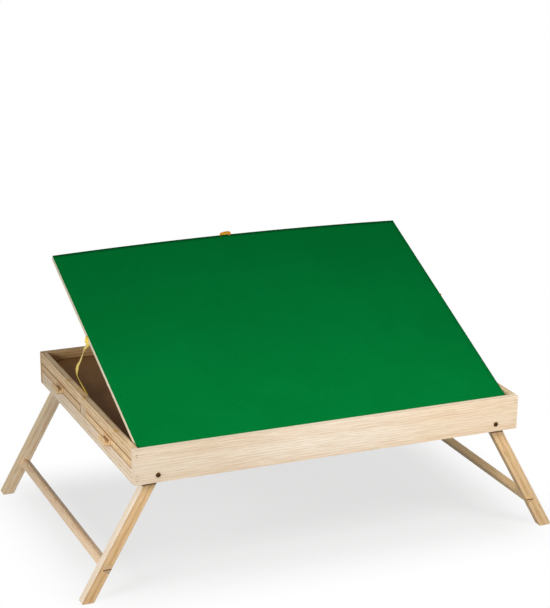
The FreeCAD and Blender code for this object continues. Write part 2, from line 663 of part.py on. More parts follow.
def limit_ribbon(name, side):
    """A flat strip, drawn by its two edges, from the board's side edge down to the end rail."""
    body = new_body(name)
    reach = number("board_reach")
    rise = number("hinge_rise")
    half = number("ribbon_width") / 2
    middle = [FreeCAD.Vector(a * reach, b * rise, 0) for a, b in zip(RIBBON_REACH_SHARES, RIBBON_RISE_SHARES)]
    left, right = [], []
    for i, point in enumerate(middle):
        before = middle[max(i - 1, 0)]
        after = middle[min(i + 1, len(middle) - 1)]
        along = (after - before).normalize()
        across = FreeCAD.Vector(-along.y, along.x, 0) * half
        left.append(point + across)
        right.append(point - across)
    ring = left + right[::-1]
    corners = [(f"board_reach * {p.x / reach:.5f}", f"hinge_rise * {p.y / rise:.5f}") for p in ring]
    pad(body, outline(body, "YZ_Plane", corners), "board_side_gap - 2 * ribbon_clearance")
    low_x = f"{BOARD_HALF} + ribbon_clearance" if side > 0 else f"-{INNER_X} + ribbon_clearance"
    place(body, low_x, HINGE_Y, HINGE_Z)


def pull_loop():
    """A loop of ribbon under the back edge of the board that stands up behind it."""
    body = new_body("pull_loop")
    crown_at_tail = f"board_crown * (1 - loop_tail / (board_reach - {BOARD_START}))"
    low = f"({SHEET_BOTTOM} + {crown_at_tail} - loop_drop - loop_strip)"
    back_y = "(board_reach + loop_standoff)"
    top = f"({SHEET_TOP} + board_crown + felt_thickness + loop_rise)"
    profile = [("board_reach - loop_tail", low), (f"{back_y} + loop_strip", low), (f"{back_y} + loop_strip", top),
               (back_y, top), (back_y, f"{low} + loop_strip"), ("board_reach - loop_tail", f"{low} + loop_strip")]
    pad(body, outline(body, "YZ_Plane", profile, shift="-loop_offset"), "loop_width", both_sides=True)
    tilted(body)


def build():
    long_rail("front_rail", -1)
    long_rail("back_rail", 1)
    end_rail("left_top_rail", -1, True)
    stay_recess(end_rail("right_top_rail", 1, True))
    end_rail("left_bottom_rail", -1, False)
    end_rail("right_bottom_rail", 1, False)
    floor_panel("tray_floor", TRAY_BOTTOM)
    floor_panel("bay_floor", f"{MOUTH_BOTTOM} - floor_sheet")
    drawer_bays()
    leg_stop("left_leg_stop", -1)
    leg_stop("right_leg_stop", 1)
    corner_brads()
    for end in ("left", "right"):
        for row in ("front", "back"):
            drawer(end, row)
    for end, side in (("left", -1), ("right", 1)):
        leg(f"{end}_front_leg", side, -1)
        leg(f"{end}_back_leg", side, 1)
        stretcher(f"{end}_stretcher", side)
    pivot_hardware()
    crowned_panel("board_sheet", SHEET_TOP, "sheet_thickness")
    crowned_panel("board_felt", "(-board_surface_drop)", "felt_thickness")
    board_battens()
    board_hinges()
    stay()
    stay_track()
    limit_ribbon("left_ribbon", -1)
    limit_ribbon("right_ribbon", 1)
    pull_loop()


def export():
    """Checks every object and writes each sub-part's solid."""
    doc.recompute()
    for item in doc.Objects:
        if any(state in ("Invalid", "Error") for state in item.State):
            raise RuntimeError(f"{item.Label} failed: {item.State}")
    os.makedirs("parts", exist_ok=True)
    for name, item in parts:
        shape = item.Shape
        if shape.isNull() or not shape.isValid() or shape.Volume <= 0:
            raise RuntimeError(f"{name} has no valid solid")
        shape.exportStep(f"parts/{name}.step")
        box = shape.BoundBox
        print(f"{name:34s} {len(shape.Solids)} {shape.Volume:12.1f}  x {box.XMin:8.2f} {box.XMax:8.2f}"
              f"  y {box.YMin:8.2f} {box.YMax:8.2f}  z {box.ZMin:8.2f} {box.ZMax:8.2f}")
    print(len(parts), "sub-parts")


build()
export()
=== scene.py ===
import math

import bmesh
import bpy
from mathutils import Matrix, Vector


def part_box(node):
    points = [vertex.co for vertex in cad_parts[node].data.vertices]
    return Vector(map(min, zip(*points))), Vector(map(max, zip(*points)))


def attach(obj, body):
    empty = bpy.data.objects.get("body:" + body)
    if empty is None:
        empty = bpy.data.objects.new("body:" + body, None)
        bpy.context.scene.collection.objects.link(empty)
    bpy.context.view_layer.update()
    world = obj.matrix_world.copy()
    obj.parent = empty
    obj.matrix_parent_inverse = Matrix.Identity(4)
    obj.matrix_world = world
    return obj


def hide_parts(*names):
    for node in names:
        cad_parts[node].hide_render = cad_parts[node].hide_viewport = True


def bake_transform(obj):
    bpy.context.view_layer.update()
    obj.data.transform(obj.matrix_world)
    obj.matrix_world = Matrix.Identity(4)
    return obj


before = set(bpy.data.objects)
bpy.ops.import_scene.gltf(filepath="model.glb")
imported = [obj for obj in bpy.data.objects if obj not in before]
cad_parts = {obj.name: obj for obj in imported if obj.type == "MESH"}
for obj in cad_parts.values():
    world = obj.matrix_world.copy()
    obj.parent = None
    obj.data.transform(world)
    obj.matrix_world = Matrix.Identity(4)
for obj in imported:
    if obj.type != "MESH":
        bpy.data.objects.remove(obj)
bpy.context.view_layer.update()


# Front and back rails
# The two long boards of the case are pale sanded pine, planed square with the arrises just broken by
# sandpaper. They run the full length and cover the ends of the short rails, and the grain runs along them.

def linear(hex_colour):
    """An sRGB hex colour as the linear values that a shader takes."""
    parts = [int(hex_colour[i:i + 2], 16) / 255 for i in (1, 3, 5)]
    return [c / 12.92 if c <= 0.04045 else ((c + 0.055) / 1.055) ** 2.4 for c in parts] + [1.0]


def add(material, kind, settings=(), links=()):
    """Adds a node to a material, with its settings and the links to its inputs."""
    node = material.node_tree.nodes.new("ShaderNode" + kind)
    for name, value in dict(settings).items():
        if isinstance(name, str) and hasattr(node, name):
            setattr(node, name, value)
        else:
            node.inputs[name].default_value = value
    for name, socket in dict(links).items():
        material.node_tree.links.new(socket, node.inputs[name])
    return node


def new_finish(name):
    """An empty material that is shown by its nodes."""
    material = bpy.data.materials.new(name)
    material.use_nodes = True
    material.node_tree.nodes.clear()
    return material


def colour_steps(node, steps):
    """Gives a colour ramp its stops."""
    ramp = node.color_ramp
    while len(ramp.elements) < len(steps):
        ramp.elements.new(0.5)
    for element, (place, colour) in zip(ramp.elements, steps):
        element.position = place
        element.color = linear(colour)
    return node


wave_repeat = 2 * math.pi / 20  # how far apart the lines of a Wave texture lie at a scale of 1, in metres


def sanded_pine(name, pith, turn, pale, mid, dark, ring_mm, sapwood=None):
    """Pine, sawn and sanded, with a thin clear coat of wax: soft pale early wood between narrow darker late
    wood. The rings go round a pith line through a point in millimetres; turn takes X to the direction of the
    grain. Sapwood is a colour, and the span in millimetres above the pith over which the wood turns to it."""
    material = new_finish(name)
    place = add(material, "TexCoord").outputs["Object"]
    # the figure is drawn out thirty times along the grain
    grain = add(material, "Mapping", {"vector_type": "TEXTURE", "Location": [c / 1000 for c in pith],
                                      "Rotation": [math.radians(a) for a in turn], "Scale": (30, 1, 1)},
                {"Vector": place}).outputs["Vector"]
    rings = add(material, "TexWave",
                {"wave_type": "RINGS", "rings_direction": "X", "wave_profile": "SAW",
                 "Scale": wave_repeat / (ring_mm / 1000), "Distortion": 4.5, "Detail": 2.0,
                 "Detail Scale": 16.0, "Detail Roughness": 0.5}, {"Vector": grain})
    year = [(0.0, mid), (0.42, pale), (0.74, pale), (0.92, dark), (1.0, mid)]
    colour = colour_steps(add(material, "ValToRGB", {}, {"Fac": rings.outputs["Fac"]}), year).outputs["Color"]
    if sapwood:
        tone, low, high = sapwood
        above = add(material, "SeparateXYZ", {}, {"Vector": grain}).outputs["Z"]
        share = add(material, "MapRange", {"From Min": low / 1000, "From Max": high / 1000},
                    {"Value": above})
        colour = add(material, "Mix", {"data_type": "RGBA", 7: linear(tone)},
                     {0: share.outputs["Result"], 6: colour}).outputs[2]
    clouds = add(material, "TexNoise", {"Scale": 26.0, "Detail": 2.0, "Roughness": 0.5}, {"Vector": grain})
    warmth = colour_steps(add(material, "ValToRGB", {}, {"Fac": clouds.outputs["Fac"]}),
                          [(0.35, "#f1e2d0"), (0.65, "#ffffff")])
    warm = add(material, "Mix", {"data_type": "RGBA", "blend_type": "MULTIPLY", 0: 0.6},
               {6: colour, 7: warmth.outputs["Color"]})
    # fibres are 0.1 mm wide in the wood, and drawn about 1 mm wide, so that they show
    fibres = add(material, "TexNoise", {"Scale": 620.0, "Detail": 2.0, "Roughness": 0.6}, {"Vector": grain})
    streaks = colour_steps(add(material, "ValToRGB", {}, {"Fac": fibres.outputs["Fac"]}),
                           [(0.3, "#e9dbc9"), (0.62, "#ffffff")])
    grained = add(material, "Mix", {"data_type": "RGBA", "blend_type": "MULTIPLY", 0: 0.6},
                  {6: warm.outputs[2], 7: streaks.outputs["Color"]})
    dent = add(material, "Bump", {"Strength": 0.25, "Distance": 0.0003}, {"Height": fibres.outputs["Fac"]})
    shader = add(material, "BsdfPrincipled", {"Roughness": 0.58, "IOR": 1.5, "Specular IOR Level": 0.3},
                 {"Base Color": grained.outputs[2], "Normal": dent.outputs["Normal"]})
    add(material, "OutputMaterial", {}, {"Surface": shader.outputs["BSDF"]})
    return material


def marked(material, tone, marks):
    """Tints a wood by a tone where its surface comes near given marks. Each mark is a centre, and a reach along
    X, Y and Z, in millimetres. The tint is full up to half the reach, and has faded out at the whole of it."""
    place = add(material, "TexCoord").outputs["Object"]
    shader = next(node for node in material.node_tree.nodes if node.type == "BSDF_PRINCIPLED")
    colour = shader.inputs["Base Color"].links[0].from_socket
    for centre, reach in marks:
        near_mark = add(material, "Mapping",
                        {"vector_type": "TEXTURE", "Location": [c / 1000 for c in centre],
                         "Scale": [r / 1000 for r in reach]}, {"Vector": place})
        away = add(material, "VectorMath", {"operation": "LENGTH"}, {0: near_mark.outputs["Vector"]})
        share = add(material, "MapRange", {"From Min": 0.5, "From Max": 1.0, "To Min": 1.0, "To Max": 0.0},
                    {"Value": away.outputs["Value"]})
        colour = add(material, "Mix", {"data_type": "RGBA", "blend_type": "MULTIPLY", 7: linear(tone)},
                     {0: share.outputs["Result"], 6: colour}).outputs[2]
    material.node_tree.links.new(colour, shader.inputs["Base Color"])


def dress(node_name, material, eased=0.0):
    """Gives a CAD node its finish, and breaks its sharp arrises by a real width in metres."""
    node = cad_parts[node_name]
    node.data.materials.clear()
    node.data.materials.append(material)
    if eased:
        joined = node.modifiers.new("joined", "WELD")
        joined.merge_threshold = 0.000005
        flat = node.modifiers.new("flat faces", "DECIMATE")
        flat.decimate_type = "DISSOLVE"
        flat.angle_limit = math.radians(1)
        edge = node.modifiers.new("broken arrises", "BEVEL")
        edge.width = eased
        edge.segments = 2
        edge.limit_method = "ANGLE"
        edge.angle_limit = math.radians(40)
        edge.harden_normals = True


whole = 2000  # a mark's reach, in millimetres, along an axis on which it takes in the whole part
front_pine = sanded_pine("sanded_pine_front", (40, -330, 120), (0, 0, 0),
                         "#faefdf", "#f3e4cf", "#e9d7be", 4.6)
# the board is a shade browner toward its left end, and yellower toward its right end
for rail_end, tone in ((-380, "#f4efe8"), (380, "#fffaf3")):
    marked(front_pine, tone, [((rail_end, -281, 247), (320, whole, whole))])
dress("front_rail", front_pine, 0.0006)
# painted shade: the back rail's tones are darker than the front rail's, for the shade it stands in under the
# raised board
shaded_back_pine = sanded_pine("sanded_pine_back", (-60, 250, 150), (0, 0, 0),
                        "#d2b283", "#c5a16f", "#b08853", 6.0)
dress("back_rail", shaded_back_pine, 0.0008)


# End rails
# Above and below the drawer mouths a short pine board closes each end of the case. It is butted between the
# long rails, and its grain, cut from knottier stock, runs from front to back with browner lines.

# painted shade for the shadow in the slits round the drawers, and how far from them it reaches, in millimetres
slit_shade, slit_reach = "#bf9868", 1.2
for end, side in (("left", -1), ("right", 1)):
    for level, pith_z, lip_z, ring, tones in (
            ("top", 300, 263.9, 6.0, ("#efdcb8", "#e3c79c", "#bd9362")),
            ("bottom", 190, 247.8, 7.0, ("#fbf0dd", "#f1e1c8", "#d3b289"))):
        wood = sanded_pine(f"sanded_pine_{end}_{level}", (side * 352, 60, pith_z), (0, 0, 90), *tones, ring)
        # painted shade: the wood is darkened beside the slits that the drawers slide in, for the shadow in
        # those gaps
        marked(wood, slit_shade, [((0, 0, lip_z), (whole, whole, slit_reach))])
        if end == "left" and level == "top":
            # three small resinous knots along the upper edge
            marked(wood, "#f4dfae", [((-377, 105, 288), (9, 11, 10)), ((-377, 0, 288), (9, 12, 12)),
                                     ((-377, -183, 288), (8, 12, 10))])
        dress(f"{end}_{level}_rail", wood, 0.0004)


# Tray floor and drawer bay floor
# Sheets of hardboard in the grooves of the rails: brown, smooth and faintly shiny on top, with a mottle of
# pressed fibres a few millimetres long.

def hardboard(name, base, fleck):
    """Oil-tempered hardboard, hot-pressed between smooth plates, which leaves a dull shine over the fibres."""
    material = new_finish(name)
    place = add(material, "TexCoord").outputs["Object"]
    mottle = add(material, "TexNoise",
                 {"Scale": 260.0, "Detail": 4.0, "Roughness": 0.65, "Distortion": 0.6}, {"Vector": place})
    cloud = add(material, "TexNoise", {"Scale": 9.0, "Detail": 2.0}, {"Vector": place})
    tone = add(material, "Math", {"operation": "MULTIPLY_ADD", 1: 0.35},
               {0: cloud.outputs["Fac"], 2: mottle.outputs["Fac"]})
    colour = colour_steps(add(material, "ValToRGB", {}, {"Fac": tone.outputs["Value"]}),
                          [(0.45, fleck), (0.85, base)])
    dent = add(material, "Bump", {"Strength": 0.2, "Distance": 0.0002}, {"Height": mottle.outputs["Fac"]})
    shader = add(material, "BsdfPrincipled", {"Roughness": 0.7, "IOR": 1.5, "Specular IOR Level": 0.08},
                 {"Base Color": colour.outputs["Color"], "Normal": dent.outputs["Normal"]})
    add(material, "OutputMaterial", {}, {"Surface": shader.outputs["BSDF"]})
    return material


floor_board = hardboard("tempered_hardboard", "#a1764b", "#84623c")
for name in ("tray_floor", "bay_floor"):
    dress(name, floor_board)


# Divider and stops between the drawers
# A pine bar runs from end to end between the front and back drawers, and shows its end grain at both ends of
# the case. Shorter blocks stop the drawers at the middle, and battens under the ends stop the opened legs.

bar_pine = sanded_pine("sanded_pine_bar", (0, -40, 215), (0, 0, 0), "#e3d3b8", "#d5c3a2", "#bfa983", 3.6)
dress("drawer_divider", bar_pine, 0.0008)
stop_pine = sanded_pine("sanded_pine_stops", (60, 0, 205), (0, 0, 90), "#ead3ae", "#dcbf95", "#c19c6b", 5.0)
for name in ("centre_stops", "left_leg_stop", "right_leg_stop"):
    dress(name, stop_pine, 0.0005)


# Corner brads
# Square steel brads with a thin brass plating, driven by machine just below the face of the long rails, so
# that each is a small mark a little browner than the wood.

def plated_steel(name, colour, roughness, wear_colour):
    """Steel with a thin plated and tumbled finish, a little duller where handling has marked it."""
    material = new_finish(name)
    place = add(material, "TexCoord").outputs["Object"]
    wear = add(material, "TexNoise", {"Scale": 900.0, "Detail": 3.0, "Roughness": 0.6}, {"Vector": place})
    tone = colour_steps(add(material, "ValToRGB", {}, {"Fac": wear.outputs["Fac"]}),
                        [(0.35, wear_colour), (0.6, colour)])
    dent = add(material, "Bump", {"Strength": 0.15, "Distance": 0.0001}, {"Height": wear.outputs["Fac"]})
    shader = add(material, "BsdfPrincipled", {"Metallic": 1.0, "Roughness": roughness},
                 {"Base Color": tone.outputs["Color"], "Normal": dent.outputs["Normal"]})
    add(material, "OutputMaterial", {}, {"Surface": shader.outputs["BSDF"]})
    return material


dress("corner_brads", plated_steel("brass_plated_brads", "#b3946c", 0.45, "#98795a"))


# Sorting drawers
# Four shallow drawers: a pine front and three thin pine walls round a hardboard bottom that is let into
# their lower edges. Each front carries a small pull block with a finger groove along its top.

drawer_bottom = hardboard("drawer_hardboard", "#a07e5e", "#86664b")
lower_slit_z, upper_slit_z = 248.4, 262.7
for end, side in (("left", -1), ("right", 1)):
    for row, pith_y, inner_end_y, tones in (("front", -57.6, -14, ("#f4dab0", "#e8c693", "#c89a60")),
                                            ("back", 59.2, 22, ("#e6cea6", "#d8ba8b", "#bb8f58"))):
        front = sanded_pine(f"drawer_front_pine_{end}_{row}", (side * 340, pith_y, 226), (0, 0, 90),
                            *tones, 4.4)
        # painted shade beside the slits above and below each drawer front and at its inner end, for the shadow
        # in those gaps
        marked(front, slit_shade, [((0, 0, lower_slit_z), (whole, whole, slit_reach)),
                                   ((0, 0, upper_slit_z), (whole, whole, slit_reach)),
                                   ((0, inner_end_y, 0), (whole, 1.4, whole))])
        dress(f"{end}_{row}_drawer_front", front, 0.0004)
        dress(f"{end}_{row}_drawer_pull", front, 0.0006)
        dress(f"{end}_{row}_drawer_walls", stop_pine, 0.0004)
        dress(f"{end}_{row}_drawer_bottom", drawer_bottom)


# Legs and stretchers
# Honey-coloured pine with a pale edge of sapwood outside, each pair of legs joined by a stretcher that is let
# into notches in their inner edges. The tops are rounded about the pivot bolts and the feet are cut level.

leg_slope = 60.4  # degrees down from level, which the grain follows
leg_face_y, end_reach = 274.4, 4
for end, side, stretcher_tones in (("left", -1, ("#efd6b6", "#e3c49c", "#caa57d")),
                                   ("right", 1, ("#ffe9bf", "#fbdca2", "#e4bd7e"))):
    # painted light: the back legs' tones are paler than the front legs', to stand in for light reaching them
    # under the case
    for face, pith_y, honey, sapwood in (("front", -232, ("#efd0a3", "#e3be89", "#c99d67"), "#f5e9d8"),
                                         ("back", 300, ("#fff0d6", "#fde2bb", "#e4be8f"), "#f3e2c0")):
        wood = sanded_pine(f"honey_pine_{end}_{face}_leg", (side * 315.9, pith_y, 222.7),
                           (0, side * leg_slope, 0), *honey, 5.2, (sapwood, 29.5, 32.0))
        # painted shadow: a dark line across the leg just under the lower edge of the case's rail, which shades
        # it there
        marked(wood, "#73552f", [((0, 0, 214.8), (whole, whole, 5.4))])
        dress(f"{end}_{face}_leg", wood, 0.0008)
    wood = sanded_pine(f"honey_pine_{end}_stretcher", (side * 400, 0, 40), (0, 0, 90), *stretcher_tones, 4.8)
    # the stretcher's ends are greyer below, under a painted shadow line along the gap above each end
    for y in (-leg_face_y, leg_face_y):
        marked(wood, "#f6f0e6", [((0, y, 0), (whole, end_reach, whole))])
        marked(wood, "#e3e4e8", [((side * 427, y, 54), (16, end_reach, 9))])
        # painted shadow along the upper edge of the end
        marked(wood, "#84694a", [((0, y, 60.5), (whole, end_reach, 1.5))])
    dress(f"{end}_stretcher", wood, 0.0007)


# Pivot bolts, washers and nuts
# Bronze-plated furniture bolts with low domed heads and a six-sided socket. They go through the long rails
# and the leg tops, with a washer between and a round nut inside.

bronze = plated_steel("bronze_plated_steel", "#54391f", 0.36, "#38230f")


def socket_bolt(x, face):
    """One furniture bolt with its shank, spun from its half section; face is -1 in front and 1 at the back."""
    low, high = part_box("pivot_bolts")
    socket, shank, rim, head, length = 0.0018, 0.0030, 0.0045, 0.0026, 0.0365
    section = [(0.0, 0.0009), (socket, 0.0009), (socket, 0.0024), (0.0024, head), (0.0034, 0.0022),
               (0.0042, 0.0013), (rim, 0.0004), (rim, 0.0), (shank, 0.0), (shank, -length), (0.0, -length)]
    mesh = bmesh.new()
    corners = [mesh.verts.new((radius, -height, 0)) for radius, height in section]
    for a, b in zip(corners, corners[1:]):
        mesh.edges.new((a, b))
    bmesh.ops.spin(mesh, geom=mesh.verts[:] + mesh.edges[:], cent=(0, 0, 0), axis=(0, 1, 0),
                   angle=2 * math.pi, steps=36, use_merge=True)
    bmesh.ops.remove_doubles(mesh, verts=mesh.verts, dist=0.000001)
    bmesh.ops.recalc_face_normals(mesh, faces=mesh.faces)
    for vert in mesh.verts:
        if abs(math.hypot(vert.co.x, vert.co.z) - socket) < 0.0001:
            turned = math.atan2(vert.co.z, vert.co.x) % (math.pi / 3) - math.pi / 6
            hexagon = math.cos(math.pi / 6) / math.cos(turned)
            vert.co.x *= hexagon
            vert.co.z *= hexagon
        vert.co.y *= -face
        vert.co += Vector((x, -face * (low.y + head), (low.z + high.z) / 2))
    if face > 0:
        bmesh.ops.reverse_faces(mesh, faces=mesh.faces)
    data = bpy.data.meshes.new("pivot_bolt")
    mesh.to_mesh(data)
    mesh.free()
    return data


leg_pivot_x = 0.335
gathered = bmesh.new()
for x in (-leg_pivot_x, leg_pivot_x):
    for face in (-1, 1):
        gathered.from_mesh(socket_bolt(x, face))
bolts = bpy.data.objects.new("socket_bolts", bpy.data.meshes.new("socket_bolts"))
gathered.to_mesh(bolts.data)
gathered.free()
bpy.context.scene.collection.objects.link(bolts)
bolts.data.materials.append(bronze)
bolts.data.shade_smooth()
bolts.data.set_sharp_from_angle(angle=math.radians(35))
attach(bolts, "case")
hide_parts("pivot_bolts")

zinc = plated_steel("zinc_plated_steel", "#b9b8b3", 0.34, "#9b9a96")
for name in ("pivot_washers", "pivot_nuts"):
    dress(name, zinc)


# Board sheet and battens
# The working board is thin plywood on pine battens. It has been sprung up a little in the middle of its back
# edge, and its raw edges show the pale plies.

def plywood(name, face, shade):
    """Rotary-cut birch plywood, sanded: a broad soft figure on its faces and a pale, even edge."""
    material = new_finish(name)
    place = add(material, "TexCoord").outputs["Object"]
    grain = add(material, "Mapping", {"vector_type": "TEXTURE", "Scale": (12, 1, 1)}, {"Vector": place})
    figure = add(material, "TexNoise", {"Scale": 30.0, "Detail": 3.0, "Distortion": 1.2},
                 {"Vector": grain.outputs["Vector"]})
    colour = colour_steps(add(material, "ValToRGB", {}, {"Fac": figure.outputs["Fac"]}),
                          [(0.35, shade), (0.6, face)])
    dent = add(material, "Bump", {"Strength": 0.15, "Distance": 0.0002}, {"Height": figure.outputs["Fac"]})
    shader = add(material, "BsdfPrincipled", {"Roughness": 0.62, "IOR": 1.5, "Specular IOR Level": 0.3},
                 {"Base Color": colour.outputs["Color"], "Normal": dent.outputs["Normal"]})
    add(material, "OutputMaterial", {}, {"Surface": shader.outputs["BSDF"]})
    return material


dress("board_sheet", plywood("birch_plywood", "#f0ead2", "#e6dfc4"))
batten_pine = sanded_pine("batten_pine", (-330, 0, 330), (0, 0, 90), "#f2e9d2", "#eadfc2", "#d9c8a2", 4.0)
for name in ("left_batten", "right_batten"):
    dress(name, batten_pine, 0.0004)
dress("front_batten", bar_pine, 0.0004)


# Felt
# Green wool-mix felt, glued over the whole board and trimmed flush with its edges. The nap is short and
# dense, brushed in soft patches that catch the light a little differently.

def short_nap_felt(name, green, shade):
    """Pressed felt: fibres in every direction, no weave, no gloss, and a faint bloom at a low angle."""
    material = new_finish(name)
    place = add(material, "TexCoord").outputs["Object"]
    patches = add(material, "TexNoise",
                  {"Scale": 7.0, "Detail": 3.0, "Roughness": 0.55, "Distortion": 0.8}, {"Vector": place})
    # real fibres are 0.02 mm thick; tufts of them are drawn about 1.5 mm wide, so that they show
    tufts = add(material, "TexNoise", {"Scale": 420.0, "Detail": 3.0, "Roughness": 0.7}, {"Vector": place})
    tone = add(material, "Math", {"operation": "MULTIPLY_ADD", 1: 0.5},
               {0: patches.outputs["Fac"], 2: tufts.outputs["Fac"]})
    colour = colour_steps(add(material, "ValToRGB", {}, {"Fac": tone.outputs["Value"]}),
                          [(0.5, shade), (1.0, green)])
    dent = add(material, "Bump", {"Strength": 0.3, "Distance": 0.0004}, {"Height": tufts.outputs["Fac"]})
    shader = add(material, "BsdfPrincipled",
                 {"Roughness": 1.0, "Specular IOR Level": 0.0, "Sheen Weight": 0.05, "Sheen Roughness": 0.6,
                  "Sheen Tint": linear("#1f9a4a")},
                 {"Base Color": colour.outputs["Color"], "Normal": dent.outputs["Normal"]})
    add(material, "OutputMaterial", {}, {"Surface": shader.outputs["BSDF"]})
    return material


hinge_y, hinge_z = -0.2727, 0.278349
tilt = math.radians(23.8)


def on_board(x, reach, rise):
    """A point given in metres on the board: along the hinge, away from it, and up from it."""
    return Vector((x, hinge_y + reach * math.cos(tilt) - rise * math.sin(tilt),
                   hinge_z + reach * math.sin(tilt) + rise * math.cos(tilt)))


half_width, near, far, crown = 0.365, 0.0028, 0.544, 0.008
felt_top, felt_thickness, trimming = -0.001, 0.00095, 0.00025
bow = (half_width ** 2 + crown ** 2) / (2 * crown)
cloth = bmesh.new()
bmesh.ops.create_grid(cloth, x_segments=73, y_segments=54, size=1.0)
for vert in cloth.verts:
    across, share = vert.co.x * half_width, (vert.co.y + 1) / 2
    trimmed = trimming if max(abs(vert.co.x), abs(vert.co.y)) > 0.999 else 0.0
    lift = share * (math.sqrt(bow ** 2 - across ** 2) - bow + crown)
    vert.co = on_board(across, near + share * (far - near), lift + felt_top - trimmed)
for face in cloth.faces:
    face.smooth = True
felt = bpy.data.objects.new("felt_cover", bpy.data.meshes.new("felt_cover"))
cloth.to_mesh(felt.data)
cloth.free()
bpy.context.scene.collection.objects.link(felt)
felt.data.materials.append(short_nap_felt("wool_felt", "#027634", "#026b2d"))
thick = felt.modifiers.new("felt thickness", "SOLIDIFY")
thick.thickness = felt_thickness
thick.offset = -1
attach(felt, "board")
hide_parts("board_felt")


# Hinges
# Three steel butt hinges join the board's front batten to the inside of the front rail, each with three
# knuckles on a pin and two flat-headed screws in each leaf.

for name in ("hinge_rail_leaves", "hinge_board_leaves", "hinge_pins", "hinge_rail_screws",
             "hinge_board_screws"):
    dress(name, zinc)


# Flap stay
# A flat arm punched from zinc-plated steel strip, on the right side of the board. Its stud slides in a slotted
# track that is let into the end rail.

for name in ("stay_arm", "stay_stud", "stay_pin", "stay_track"):
    dress(name, zinc)


# Limit ribbons
# A length of golden satin ribbon is fixed to each side edge of the board and to the inside of the end rail.
# It is slack at this tilt, so it hangs in a loose curve and twists on its way down.

def satin_ribbon(name, gold, shade, painted_highlight):
    """Satin ribbon: fine yarns across its width under long floats, which give a soft lengthwise shine."""
    material = new_finish(name)
    along = add(material, "UVMap").outputs["UV"]
    # yarns lie about 0.3 mm apart, drawn 0.8 mm apart, so that they show
    yarns = add(material, "TexWave",
                {"wave_type": "BANDS", "bands_direction": "Y", "Scale": wave_repeat / 0.0008,
                 "Distortion": 0.4, "Detail": 1.0}, {"Vector": along})
    fold_shade = add(material, "TexNoise", {"Scale": 90.0, "Detail": 2.0}, {"Vector": along})
    tone = add(material, "Math", {"operation": "MULTIPLY_ADD", 1: 0.3},
               {0: yarns.outputs["Fac"], 2: fold_shade.outputs["Fac"]})
    # the colour runs from a painted shade through the gold to a painted highlight, across the yarns and in soft
    # patches of painted fold shade
    colour = colour_steps(add(material, "ValToRGB", {}, {"Fac": tone.outputs["Value"]}),
                          [(0.35, shade), (0.62, gold), (0.9, painted_highlight)])
    dent = add(material, "Bump", {"Strength": 0.2, "Distance": 0.0002}, {"Height": yarns.outputs["Fac"]})
    shader = add(material, "BsdfPrincipled",
                 {"Roughness": 0.42, "IOR": 1.5, "Sheen Weight": 0.3, "Sheen Roughness": 0.3,
                  "Sheen Tint": linear("#ffe48a")},
                 {"Base Color": colour.outputs["Color"], "Normal": dent.outputs["Normal"]})
    add(material, "OutputMaterial", {}, {"Surface": shader.outputs["BSDF"]})
    return material


def smooth_path(points, steps):
    """Points evenly spaced along a soft curve through given ones, as vectors, and the curve's length."""
    curve = bpy.data.curves.new("path", "CURVE")
    curve.dimensions = "3D"
    spline = curve.splines.new("NURBS")
    spline.points.add(len(points) - 1)
    for knot, point in zip(spline.points, points):
        knot.co = (*point, 1)
    spline.order_u = 4
    spline.use_endpoint_u = True
    spline.resolution_u = 24
    holder = bpy.data.objects.new("path", curve)
    bpy.context.scene.collection.objects.link(holder)
    line = bpy.data.meshes.new_from_object(holder)
    dense = [v.co.copy() for v in line.vertices]
    bpy.data.objects.remove(holder)
    lengths = [0.0]
    for a, b in zip(dense, dense[1:]):
        lengths.append(lengths[-1] + (b - a).length)
    even, j = [], 0
    for i in range(steps + 1):
        want = lengths[-1] * i / steps
        while j < len(lengths) - 2 and lengths[j + 1] < want:
            j += 1
        share = (want - lengths[j]) / max(lengths[j + 1] - lengths[j], 1e-9)
        even.append(dense[j].lerp(dense[j + 1], min(max(share, 0), 1)))
    return even, lengths[-1]


def ribbon_strip(name, points, level, twists, width, satin):
    """A strip of ribbon along a path, and its length. Level is the direction that its width starts from, and
    twists are pairs of share along it and turn in degrees about the path."""
    steps, across, bulge, thickness = 120, 6, 0.12, 0.00035
    path, length = smooth_path(points, steps)
    mesh = bmesh.new()
    uv = mesh.loops.layers.uv.new("along")
    rows = []
    for i, point in enumerate(path):
        share = i / steps
        for (start, first), (stop, last) in zip(twists, twists[1:]):
            if start <= share <= stop:
                s = (share - start) / (stop - start)
                turn = math.radians(first + (last - first) * s * s * (3 - 2 * s))
        tangent = (path[min(i + 1, steps)] - path[max(i - 1, 0)]).normalized()
        square = (level - tangent * level.dot(tangent)).normalized()
        reach = Matrix.Rotation(turn, 3, tangent) @ square
        curl = reach.cross(tangent)
        row = []
        for k in range(across + 1):
            w = k / across - 0.5
            row.append(mesh.verts.new(point + reach * w * width + curl * (0.25 - w * w) * width * bulge))
        rows.append(row)
    for i in range(steps):
        for k in range(across):
            face = mesh.faces.new((rows[i][k], rows[i + 1][k], rows[i + 1][k + 1], rows[i][k + 1]))
            face.smooth = True
            for loop, (u, v) in zip(face.loops, ((k, i), (k, i + 1), (k + 1, i + 1), (k + 1, i))):
                loop[uv].uv = (u / across * width, v / steps * length)
    data = bpy.data.meshes.new(name)
    mesh.to_mesh(data)
    mesh.free()
    strip = bpy.data.objects.new(name, data)
    bpy.context.scene.collection.objects.link(strip)
    strip.data.materials.append(satin)
    thick = strip.modifiers.new("ribbon thickness", "SOLIDIFY")
    thick.thickness = thickness
    thick.offset = 0
    return strip, length


golden_satin = satin_ribbon("golden_satin", "#efcc3c", "#d19b20", "#fff08a")
ribbon_width, ribbon_x = 0.010, 0.3665
